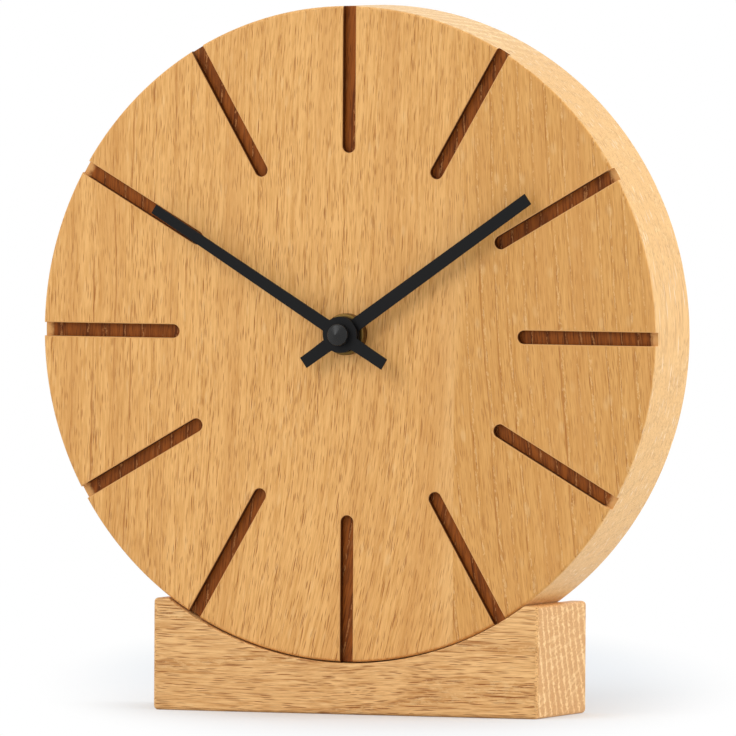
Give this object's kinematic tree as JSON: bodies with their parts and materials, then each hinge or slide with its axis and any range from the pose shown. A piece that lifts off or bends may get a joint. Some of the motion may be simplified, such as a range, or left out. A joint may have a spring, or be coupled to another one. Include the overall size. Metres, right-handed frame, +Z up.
{
  "type": "table clock",
  "caption": "Round oak dial block with routed hour grooves standing in the cradle of an oak base, with two black hands driven by a battery movement set into its back.",
  "frame": {"origin": "middle of the base block's underside, on the surface that the clock stands on", "axes": "+X to the right of someone facing the dial, +Y to the back, +Z up"},
  "size_m": [0.17, 0.0439, 0.1836],
  "materials": {
    "dial_oak": "sanded and oiled oak, upright grain",
    "base_oak": "sanded and oiled oak, grain along the width",
    "tenon_beech": "planed beech",
    "hand_black": "matt black lacquer on aluminium",
    "cap_black": "satin black",
    "hub_brass": "turned, satin",
    "washer_rubber": "matt",
    "case_plastic": "moulded, fine grain",
    "plate_plastic": "moulded acetal, natural",
    "wheel_plastic": "moulded acetal, natural",
    "knob_plastic": "moulded, ribbed grip",
    "board_laminate": "green solder resist",
    "chip_resin": "moulded resin",
    "crystal_can": "drawn can",
    "bobbin_plastic": "moulded",
    "coil_copper": "enamelled copper wire",
    "motor_iron": "soft iron sheet",
    "magnet_dark": "sintered",
    "contact_nickel": "nickel plated spring strip",
    "cell_jacket": "plain printed sleeve"
  },
  "bodies": {
    "clock_body": {"base_block": "base_oak", "dial_block": "dial_oak", "loose_tenon": "tenon_beech", "movement_case": "case_plastic", "back_cover": "case_plastic", "threaded_bush": "hub_brass", "rubber_washer": "washer_rubber", "hub_nut": "hub_brass", "middle_plate": "plate_plastic", "train_bridge": "plate_plastic", "stator_plate": "motor_iron", "coil_core": "motor_iron", "coil_bobbin": "bobbin_plastic", "coil_winding": "coil_copper", "circuit_board": "board_laminate", "control_chip": "chip_resin", "quartz_crystal": "crystal_can", "positive_contact": "contact_nickel", "negative_contact": "contact_nickel"},
    "minute_hand_body": {"minute_arbor": "wheel_plastic", "minute_hand": "hand_black", "hand_cap": "cap_black"},
    "hour_hand_body": {"hour_wheel": "wheel_plastic", "hour_hand": "hand_black"},
    "motion_wheel_body": {"motion_wheel": "wheel_plastic"},
    "setting_knob_body": {"setting_knob": "knob_plastic"},
    "centre_wheel_body": {"centre_wheel": "wheel_plastic"},
    "third_wheel_body": {"third_wheel": "wheel_plastic"},
    "seconds_wheel_body": {"seconds_wheel": "wheel_plastic"},
    "fifth_wheel_body": {"fifth_wheel": "wheel_plastic"},
    "rotor_body": {"rotor_pinion": "wheel_plastic", "rotor_magnet": "magnet_dark"},
    "battery_body": {"battery_cell": "cell_jacket"}
  },
  "joints": [
    {"name": "minute_hand_turn", "type": "hinge", "parent": "clock_body", "child": "minute_hand_body", "pos_m": [0, -0.0105, 0.0986], "axis": [0, 1, 0], "continuous": true},
    {"name": "hour_hand_turn", "type": "hinge", "parent": "clock_body", "child": "hour_hand_body", "pos_m": [0, -0.0105, 0.0986], "axis": [0, 1, 0], "continuous": true},
    {"name": "motion_wheel_turn", "type": "hinge", "parent": "clock_body", "child": "motion_wheel_body", "pos_m": [0.0072, -0.0105, 0.0986], "axis": [0, 1, 0], "continuous": true},
    {"name": "setting_knob_turn", "type": "hinge", "parent": "clock_body", "child": "setting_knob_body", "pos_m": [0.0144, -0.0105, 0.0986], "axis": [0, 1, 0], "continuous": true},
    {"name": "seconds_wheel_turn", "type": "hinge", "parent": "clock_body", "child": "seconds_wheel_body", "pos_m": [0, -0.0105, 0.0986], "axis": [0, 1, 0], "continuous": true},
    {"name": "centre_wheel_turn", "type": "hinge", "parent": "clock_body", "child": "centre_wheel_body", "pos_m": [0, -0.0105, 0.0986], "axis": [0, 1, 0], "continuous": true},
    {"name": "third_wheel_turn", "type": "hinge", "parent": "clock_body", "child": "third_wheel_body", "pos_m": [-0.00678, -0.0105, 0.10251], "axis": [0, 1, 0], "continuous": true},
    {"name": "fifth_wheel_turn", "type": "hinge", "parent": "clock_body", "child": "fifth_wheel_body", "pos_m": [0, -0.0105, 0.10652], "axis": [0, 1, 0], "continuous": true},
    {"name": "rotor_turn", "type": "hinge", "parent": "clock_body", "child": "rotor_body", "pos_m": [0, -0.0105, 0.11219], "axis": [0, 1, 0], "continuous": true},
    {"name": "battery_slide", "type": "slide", "parent": "clock_body", "child": "battery_body", "axis": [0, 1, 0], "range_m": [0, 0.025]}
  ],
  "couplings": [
    {"joint": "hour_hand_turn", "follows": "minute_hand_turn", "ratio": 0.083333},
    {"joint": "motion_wheel_turn", "follows": "minute_hand_turn", "ratio": -0.33333},
    {"joint": "setting_knob_turn", "follows": "minute_hand_turn", "ratio": 1},
    {"joint": "centre_wheel_turn", "follows": "seconds_wheel_turn", "ratio": 0.016667},
    {"joint": "third_wheel_turn", "follows": "seconds_wheel_turn", "ratio": -0.13333},
    {"joint": "fifth_wheel_turn", "follows": "seconds_wheel_turn", "ratio": -5},
    {"joint": "rotor_turn", "follows": "seconds_wheel_turn", "ratio": 30}
  ]
}
